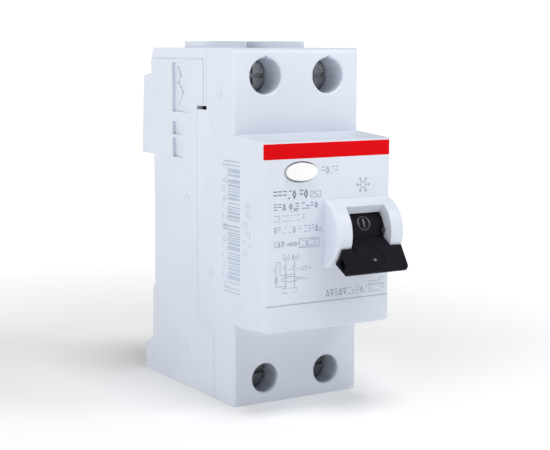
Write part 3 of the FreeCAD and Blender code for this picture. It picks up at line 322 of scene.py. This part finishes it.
# the surroundings are white at the horizon and fade to grey overhead, by the sine of the height
HORIZON_WHITE = 1.08
SKY_GREY = 0.20
FADE_FROM = 0.06
FADE_TO = 0.28
world = bpy.data.worlds.new("studio")
world.use_nodes = True
backdrop = world.node_tree.nodes["Background"]
backdrop.inputs["Color"].default_value = (1, 1, 1, 1)
direction = world.node_tree.nodes.new("ShaderNodeTexCoord")
split = world.node_tree.nodes.new("ShaderNodeSeparateXYZ")
fade = world.node_tree.nodes.new("ShaderNodeMapRange")
fade.inputs["From Min"].default_value = FADE_FROM
fade.inputs["From Max"].default_value = FADE_TO
fade.inputs["To Min"].default_value = HORIZON_WHITE
fade.inputs["To Max"].default_value = SKY_GREY
world.node_tree.links.new(direction.outputs["Generated"], split.inputs["Vector"])
world.node_tree.links.new(split.outputs["Z"], fade.inputs["Value"])
world.node_tree.links.new(fade.outputs["Result"], backdrop.inputs["Strength"])
bpy.context.scene.world = world
bpy.context.scene.view_settings.view_transform = "Standard"

FLOOR_HALF = 4.0
FLOOR_GAP = 0.05 * MM
# the floor glows as painted light: dimmer near the object, which paints shade round it, and brighter away from it,
# which paints a white backdrop
GLOW_FROM, GLOW_TO = 0.06, 0.35
GLOW_NEAR, GLOW_FAR = 0.10, 0.9
floor_mesh = bpy.data.meshes.new("floor")
floor_bm = bmesh.new()
bmesh.ops.create_grid(floor_bm, x_segments=1, y_segments=1, size=FLOOR_HALF)
floor_bm.to_mesh(floor_mesh)
floor_bm.free()
floor = bpy.data.objects.new("floor", floor_mesh)
floor.location.z = BOTTOM - FLOOR_GAP
bpy.context.scene.collection.objects.link(floor)
floor_mat = material("floor_paper", (0.93, 0.93, 0.93), 0.9)
floor_shader = floor_mat.node_tree.nodes["Principled BSDF"]
floor_shader.inputs["Emission Color"].default_value = (1, 1, 1, 1)
painted_glow_at = floor_mat.node_tree.nodes.new("ShaderNodeTexCoord")
painted_glow_reach = floor_mat.node_tree.nodes.new("ShaderNodeVectorMath")
painted_glow_reach.operation = "LENGTH"
painted_floor_glow = floor_mat.node_tree.nodes.new("ShaderNodeMapRange")
painted_floor_glow.inputs["From Min"].default_value = GLOW_FROM
painted_floor_glow.inputs["From Max"].default_value = GLOW_TO
painted_floor_glow.inputs["To Min"].default_value = GLOW_NEAR
painted_floor_glow.inputs["To Max"].default_value = GLOW_FAR
floor_mat.node_tree.links.new(painted_glow_at.outputs["Object"], painted_glow_reach.inputs[0])
floor_mat.node_tree.links.new(painted_glow_reach.outputs["Value"], painted_floor_glow.inputs["Value"])
floor_mat.node_tree.links.new(painted_floor_glow.outputs["Result"], floor_shader.inputs["Emission Strength"])
floor_mesh.materials.append(floor_mat)


# ---- marks: bars, slants, diamonds and triangles in place of lettering ----
# corners and middles of a mark's box, and the strokes of each mark from one of them to another
GLYPH_NODES = {
    "a": (0, 0), "b": (1, 0), "c": (0, 0.5), "d": (1, 0.5),
    "e": (0, 1), "f": (1, 1), "m": (0.5, 1), "n": (0.5, 0),
}
GLYPHS = ["ab ef", "ab cd ef", "cm md dn nc", "an mf", "ab bm ma", "ef fn ne", "ab cd", "cd ef"]
MARK_SHARE = 0.62           # of the pitch, the rest is the gap
ICON_PEN = 0.13 * MM
DIAGRAM_PEN = 0.11 * MM


def glyph(bm, place, corner, size, strokes, pen):
    """One meaningless mark of straight strokes in a box from corner."""
    for pair in strokes.split():
        (x0, y0), (x1, y1) = GLYPH_NODES[pair[0]], GLYPH_NODES[pair[1]]
        start = (corner[0] + x0 * size[0], corner[1] + y0 * size[1])
        end = (corner[0] + x1 * size[0], corner[1] + y1 * size[1])
        stroke(bm, place, start, end, pen)


def line_of_marks(bm, place, start, end, middle, height, groups, pen, rng):
    """Groups of marks spread evenly from start to end; a gap counts as half a mark."""
    count = sum(groups) + 0.5 * (len(groups) - 1)
    pitch = (end - start) / count
    width = pitch * MARK_SHARE
    at = start
    for group in groups:
        for _ in range(group):
            corner = (at + (pitch - width) / 2, middle - height / 2)
            glyph(bm, place, corner, (width, height), rng.choice(GLYPHS), pen)
            at += pitch
        at += pitch / 2


def frame_lines(bm, place, low, high, pen):
    """The outline of a rectangle."""
    path(bm, place, [low, (high[0], low[1]), high, (low[0], high[1])], pen, closed=True)


def mm_points(*points):
    """Points given in millimetres, in metres."""
    return [(u * MM, v * MM) for u, v in points]


# left end, right end, middle height and mark height of each row in millimetres,
# then the marks in each group and the pen's width
NOSE_ROWS = [
    (-15.2, -5.7, 11.9, 1.65, (5, 2), 0.30),
    (-15.1, -2.95, 9.2, 1.25, (3, 1, 1, 4), 0.23),
    (-15.05, -6.5, 6.55, 1.25, (2, 5, 1), 0.13),
    (-15.05, -1.85, 3.9, 1.3, (2, 1, 2, 1, 5), 0.13),
    (-15.05, -12.1, 0.65, 1.15, (3,), 0.13),
    (-7.6, -3.3, 0.58, 1.15, (4,), 0.13),
    (-12.6, -8.05, -2.4, 1.05, (3, 3), 0.12),
    (-12.8, -8.5, -10.15, 1.05, (3, 3), 0.12),
    (11.25, 16.15, -10.0, 1.25, (5,), 0.14),
    (-0.8, 16.15, -11.75, 1.4, (14,), 0.14),
    (-2.2, 2.6, 17.05, 1.55, (4,), 0.16),
]


def build_nose_rows(bm):
    """Rows of marks at the places where the nose is printed."""
    rng = random.Random(11)
    for left, right, middle, height, groups, pen in NOSE_ROWS:
        line_of_marks(
            bm, on_nose, left * MM, right * MM, middle * MM, height * MM, groups, pen * MM, rng
        )
    # small marks below the second row
    line_of_marks(bm, on_nose, -10.4 * MM, -8.4 * MM, 8.4 * MM, 0.75 * MM, (3,), 0.13 * MM, rng)


def wave(centre, half, height, steps=14):
    """Points on one period of a sine."""
    return [
        (
            centre[0] + half * (2 * i / steps - 1),
            centre[1] + height * math.sin(2 * math.pi * i / steps),
        )
        for i in range(steps + 1)
    ]


def step_from(point, angle, reach):
    """The point at a distance from another, along an angle."""
    return (point[0] + reach * math.cos(angle), point[1] + reach * math.sin(angle))


def build_nose_icons(bm):
    """The boxed wave for alternating current, the fuse with its box, and the cold-weather star."""
    pen = ICON_PEN
    frame_lines(bm, on_nose, (-5.05 * MM, 11.05 * MM), (-2.3 * MM, 12.4 * MM), pen)
    path(bm, on_nose, wave((-3.68 * MM, 11.72 * MM), 0.9 * MM, 0.32 * MM), pen)
    frame_lines(bm, on_nose, (-8.15 * MM, -0.42 * MM), (-2.76 * MM, 1.6 * MM), pen)
    path(bm, on_nose, mm_points((-11.65, 0.5), (-8.15, 0.5)), pen)
    frame_lines(bm, on_nose, (-10.8 * MM, 0.15 * MM), (-9.0 * MM, 0.85 * MM), pen)
    star = (9.56 * MM, 13.2 * MM)
    for i in range(6):
        a = 60 * i * DEG
        root, fork, tip = (step_from(star, a, reach * MM) for reach in (0.8, 1.35, 1.9))
        path(bm, on_nose, [root, tip], pen)
        for turn in (-40, 40):
            path(bm, on_nose, [fork, step_from(fork, a + turn * DEG, 0.5 * MM)], pen)
    path(bm, on_nose, arc_points(star, 0.8 * MM, 0, 360, 6), pen)


def build_diagram(bm):
    """A generic circuit: two switched poles through a transformer, with a test loop on the left."""
    pen = DIAGRAM_PEN
    for x in (-11.7, -9.35):
        path(bm, on_nose, mm_points((x, -3.2), (x, -4.6)), pen)
        path(bm, on_nose, mm_points((x - 0.6, -4.5), (x, -5.9), (x, -9.4)), pen)
        path(bm, on_nose, mm_points((x - 0.25, -4.4), (x + 0.25, -4.8)), pen)
    for i in range(6):
        left = -11.9 + 0.75 * i
        path(bm, on_nose, mm_points((left, -5.3), (left + 0.4, -5.3)), pen)
    frame_lines(bm, on_nose, (-7.3 * MM, -5.7 * MM), (-6.0 * MM, -4.9 * MM), pen)
    path(bm, on_nose, mm_points((-5.5, -5.3), (-4.8, -5.3)), pen)
    path(bm, on_nose, mm_points((-5.15, -4.95), (-5.15, -5.65)), pen)
    middle, flatness = (-10.6 * MM, -7.55 * MM), 0.27
    circle = arc_points(middle, 2.2 * MM, 0, 360, 20)
    path(bm, on_nose, [(u, middle[1] + (v - middle[1]) * flatness) for u, v in circle], pen)
    path(bm, on_nose, wave((-7.2 * MM, -7.6 * MM), 1.2 * MM, 0.22 * MM), pen)
    loop = mm_points((-14.35, -9.1), (-14.35, -3.4), (-13.3, -3.4), (-13.3, -6.5), (-9.4, -6.5))
    path(bm, on_nose, loop, pen)
    path(bm, on_nose, mm_points((-14.35, -9.1), (-11.7, -9.1)), pen)
    frame_lines(bm, on_nose, (-14.65 * MM, -8.2 * MM), (-14.05 * MM, -6.9 * MM), pen)
    path(bm, on_nose, mm_points((-14.9, -4.8), (-14.9, -5.6)), pen)


new_piece("nose_print", build_nose_rows, PRINT, "housing", smooth=False)
new_piece("nose_icons", build_nose_icons, THIN_PRINT, "housing", smooth=False)
new_piece("nose_diagram", build_diagram, THIN_PRINT, "housing", smooth=False)


# ---- print on the left side ----
def down_left(u, v, w):
    """The left side read downwards: u goes down, v towards the front, w out of the face."""
    return Vector((-SIDE - w, -v, -u))


# the block of bars: front and back edges, with the guard bars' back edge, and its height
BARS_FRONT = 46.8 * MM
BARS_BACK = 41.3 * MM
GUARD_BACK = 39.2 * MM
GUARD_PEN = 0.32 * MM
BARS_TOP = 18.9 * MM
BARS_BOTTOM = -12.4 * MM
BAR_WIDTHS = (0.3, 0.3, 0.62, 0.62, 0.95)
BAR_GAPS = (0.3, 0.3, 0.6)
GUARD_ROOM = 1.15 * MM      # kept clear of bars on each side of the middle


def build_side_bars(bm):
    """A block of bars of random thickness, with longer guard bars at its ends and middle."""
    rng = random.Random(5)
    middle = (BARS_TOP + BARS_BOTTOM) / 2
    guards = [BARS_TOP, BARS_TOP - 0.9 * MM, middle + 0.4 * MM, middle - 0.5 * MM]
    guards += [BARS_BOTTOM + 1.2 * MM, BARS_BOTTOM + 0.3 * MM]
    for top in guards:
        path(bm, on_left, [(GUARD_BACK, top - 0.2 * MM), (BARS_FRONT, top - 0.2 * MM)], GUARD_PEN)
    at = BARS_TOP - 1.9 * MM
    while at > BARS_BOTTOM + 2.0 * MM:
        thick = rng.choice(BAR_WIDTHS) * MM
        if abs(at - thick / 2 - middle) > GUARD_ROOM:
            lower = [(BARS_BACK, at - thick), (BARS_FRONT, at - thick)]
            patch(bm, on_left, lower + [(BARS_FRONT, at), (BARS_BACK, at)])
        at -= thick + rng.choice(BAR_GAPS) * MM


def build_side_marks(bm):
    """A column of small marks behind the bars and a column of large ones in front of them."""
    rng = random.Random(8)
    line_of_marks(bm, down_left, -18.5 * MM, 11.8 * MM, 39.75 * MM, 1.7 * MM, (1, 6, 6), 0.16 * MM, rng)
    line_of_marks(bm, down_left, -10.2 * MM, 3.1 * MM, 50.0 * MM, 2.7 * MM, (6,), 0.2 * MM, rng)


new_piece("side_bars", build_side_bars, SIDE_PRINT, "housing", smooth=False)
new_piece("side_marks", build_side_marks, SIDE_PRINT, "housing", smooth=False)


# ---- moulded marks on both sides ----
def on_right(u, v, w):
    """The right side: u towards the front, v up, w out of the face."""
    return Vector((SIDE + w, -u, v))


RECESS_DEPTH = 0.9 * MM
RECESS_FRONT = 22.6 * MM
RECESS_LENGTH = 9.6 * MM
EJECTOR_R = 1.0 * MM
EJECTOR_STEP = 18           # degrees of its ring to a stroke


def build_moulded(place):
    """Ejector rings, the ridge in the long recess and the witness line under the side step."""

    def build(bm):
        def in_recess(u, v, w):
            """On the recess's floor, which slopes in from the recess's front edge."""
            return place(u, v, w - RECESS_DEPTH * (RECESS_FRONT - u) / RECESS_LENGTH)

        ridge = mm_points((15.0, 40.2), (16.8, 38.0), (15.2, 36.4), (18.2, 33.9), (15.4, 31.0))
        for start, end in zip(ridge, ridge[1:]):
            stroke(bm, in_recess, start, end, 0.5 * MM, 0.22 * MM)
        path(bm, place, mm_points((31.7, 30.2), (35.1, 25.6)), 0.16 * MM)
        for centre in mm_points((33.0, -9.0), (20.5, 8.0), (20.5, -30.0), (37.5, 34.0)):
            for turn in range(0, 378, EJECTOR_STEP):
                start, end = arc_points(centre, EJECTOR_R, turn, turn + EJECTOR_STEP, 1)
                stroke(bm, place, start, end, 0.1 * MM, 0.05 * MM)

    return build


new_piece("moulded_marks_left", build_moulded(on_left), MAT["housing_grey"], "housing")
new_piece("moulded_marks_right", build_moulded(on_right), MAT["housing_grey"], "housing")


# ---- details of the handle ----
def on_drum(u, v, w):
    """The handle's drum: u to the right of its middle, v up along its surface, w outwards."""
    angle = v / DRUM_R
    reach = DRUM_R + w
    return Vector((AXIS.x + u, AXIS.y - reach * math.cos(angle), AXIS.z + reach * math.sin(angle)))


HANDLE_RING_R = 1.6 * MM
HANDLE_BAR_HALF = 0.85 * MM


def build_handle_mark(bm):
    """A raised bar in a ring, in the drum's face, and a small nub near its right edge."""
    middle = (-0.3 * MM, DRUM_R * 24 * DEG)
    ring = arc_points(middle, HANDLE_RING_R, 0, 360, 36)
    for start, end in zip(ring, ring[1:]):
        stroke(bm, on_drum, start, end, 0.34 * MM, 0.14 * MM)
    for v in (-HANDLE_BAR_HALF, HANDLE_BAR_HALF):
        stroke(bm, on_drum, (middle[0], middle[1] - v), middle, 0.5 * MM, 0.18 * MM)
    nub = (DRUM_HALF - 0.55 * MM, DRUM_R * 2 * DEG)
    for lift in (0.3, 0.55):
        stroke(bm, on_drum, nub, (nub[0] + 0.1 * MM, nub[1] + 0.35 * MM), 0.75 * MM, lift * MM)


# The raised mark is coloured lighter than the black handle: a painted highlight on its raised edges. Its lower
# roughness is the polish of rubbed edges.
MARK_WEAR_AND_HIGHLIGHT = moulded("handle_mark_wear_and_highlight", (0.028, 0.028, 0.034), (0.28, 0.42), 5200, 0.00003, 0.2)
new_piece("handle_mark", build_handle_mark, MARK_WEAR_AND_HIGHLIGHT, "toggle")


def handle_point(radius, below):
    """A point of the handle's outline, by distance from its axis and degrees below level."""
    angle = below * DEG
    return Vector((AXIS.x, AXIS.y - radius * math.cos(angle), AXIS.z - radius * math.sin(angle)))


GATE_R = 0.36 * MM


def build_gate_mark(bm):
    """The small torn-off sprue in the thumb dish."""
    root, tip = handle_point(8.65 * MM, 20), handle_point(13.3 * MM, 34.5)
    middle = root.lerp(tip, 0.58)
    along = (tip - root).normalized()
    outward = Vector((0, along.z, -along.y))
    rng = random.Random(3)
    centre = middle - outward * 0.33 * MM
    bmesh.ops.create_icosphere(bm, subdivisions=3, radius=GATE_R)
    for vert in bm.verts:
        rough = 1 + 0.22 * (rng.random() - 0.5)
        lump = Vector((vert.co.x * 1.3, vert.co.y, vert.co.z)) * rough
        vert.co = centre + Vector((lump.x, 0, 0)) + along * lump.y + outward * lump.z * 0.45


GATE = moulded("gate_mark", (0.12, 0.12, 0.13), (0.35, 0.5), 4000, 0.00002, 0.2)
new_piece("gate_mark", build_gate_mark, GATE, "toggle")


# ---- smooth springs in place of the faceted ones ----
CLOSED_TURNS = 0.9          # at each end of a spring
STEPS_A_TURN = 20


def tube(bm, centres, radius, sides=10):
    """A closed round tube through a list of points."""
    rings = []
    last = len(centres) - 1
    side = None
    for i, centre in enumerate(centres):
        run = (centres[min(i + 1, last)] - centres[max(i - 1, 0)]).normalized()
        if side is None:
            side = run.orthogonal().normalized()
        side = (side - run * side.dot(run)).normalized()
        other = run.cross(side)
        ring = []
        for k in range(sides):
            a = 2 * math.pi * k / sides
            ring.append(bm.verts.new(centre + (side * math.cos(a) + other * math.sin(a)) * radius))
        rings.append(ring)
    for one, two in zip(rings, rings[1:]):
        for k in range(sides):
            j = (k + 1) % sides
            bm.faces.new((one[k], one[j], two[j], two[k]))
    bm.faces.new(rings[0][::-1])
    bm.faces.new(rings[-1])


def spring_line(node, axis, turns, wire):
    """The wire's centre line, with closed end turns, in the node's box along axis 0, 1 or 2."""
    low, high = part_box(node)
    axes = [i for i in range(3) if i != axis]
    radius = min(high[i] - low[i] for i in axes) / 2 - wire
    middle = (low + high) / 2
    start, length = low[axis] + wire, high[axis] - low[axis] - 2 * wire
    closed = CLOSED_TURNS / turns
    closed_rise = CLOSED_TURNS * 2 * wire / length
    steps = turns * STEPS_A_TURN
    points = []
    for i in range(steps + 1):
        t = i / steps
        rise = min(max((t - closed) / (1 - 2 * closed), 0), 1)
        share = closed_rise * min(t / closed, 1) + rise * (1 - 2 * closed_rise)
        share += closed_rise * max((t - 1 + closed) / closed, 0)
        a = 2 * math.pi * turns * t
        point = Vector((0, 0, 0))
        point[axis] = start + length * share
        point[axes[0]] = middle[axes[0]] + radius * math.cos(a)
        point[axes[1]] = middle[axes[1]] + radius * math.sin(a)
        points.append(point)
    return points


def spring_piece(node, axis, turns, wire, body, squash=None):
    """A smooth spring in place of its CAD node; squash is a joint, an axis, an anchor and a share kept, and only
    whether it is given is used: the piece then gets its own mesh.
    """
    piece = new_piece(
        node + "_wound",
        lambda bm: tube(bm, spring_line(node, axis, turns, wire), wire),
        MAT["spring_steel"],
        body,
    )
    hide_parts(node)
    if squash:
        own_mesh(piece)


clip_low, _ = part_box("din_clip_spring")
_, press_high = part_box("test_button_spring")
_, trip_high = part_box("trip_spring")
spring_piece(
    "din_clip_spring", 2, 9, 0.25 * MM, "housing",
    ("clip_release", (0, 0, 1), (0, clip_low.y, clip_low.z), 0.56),
)
spring_piece(
    "test_button_spring", 1, 4, 0.25 * MM, "housing",
    ("button_press", (0, 1, 0), (0, press_high.y, press_high.z), 0.52),
)
spring_piece("toggle_spring", 0, 4, 0.25 * MM, "toggle")
spring_piece(
    "trip_spring", 1, 5, 0.2 * MM, "housing",
    ("plunger_slide", (0, 1, 0), (0, trip_high.y, trip_high.z), 0.56),
)
spring_piece("relay_spring", 2, 8, 0.12 * MM, "housing")


# ---- finish: the view layer is updated ----
bpy.context.view_layer.update()
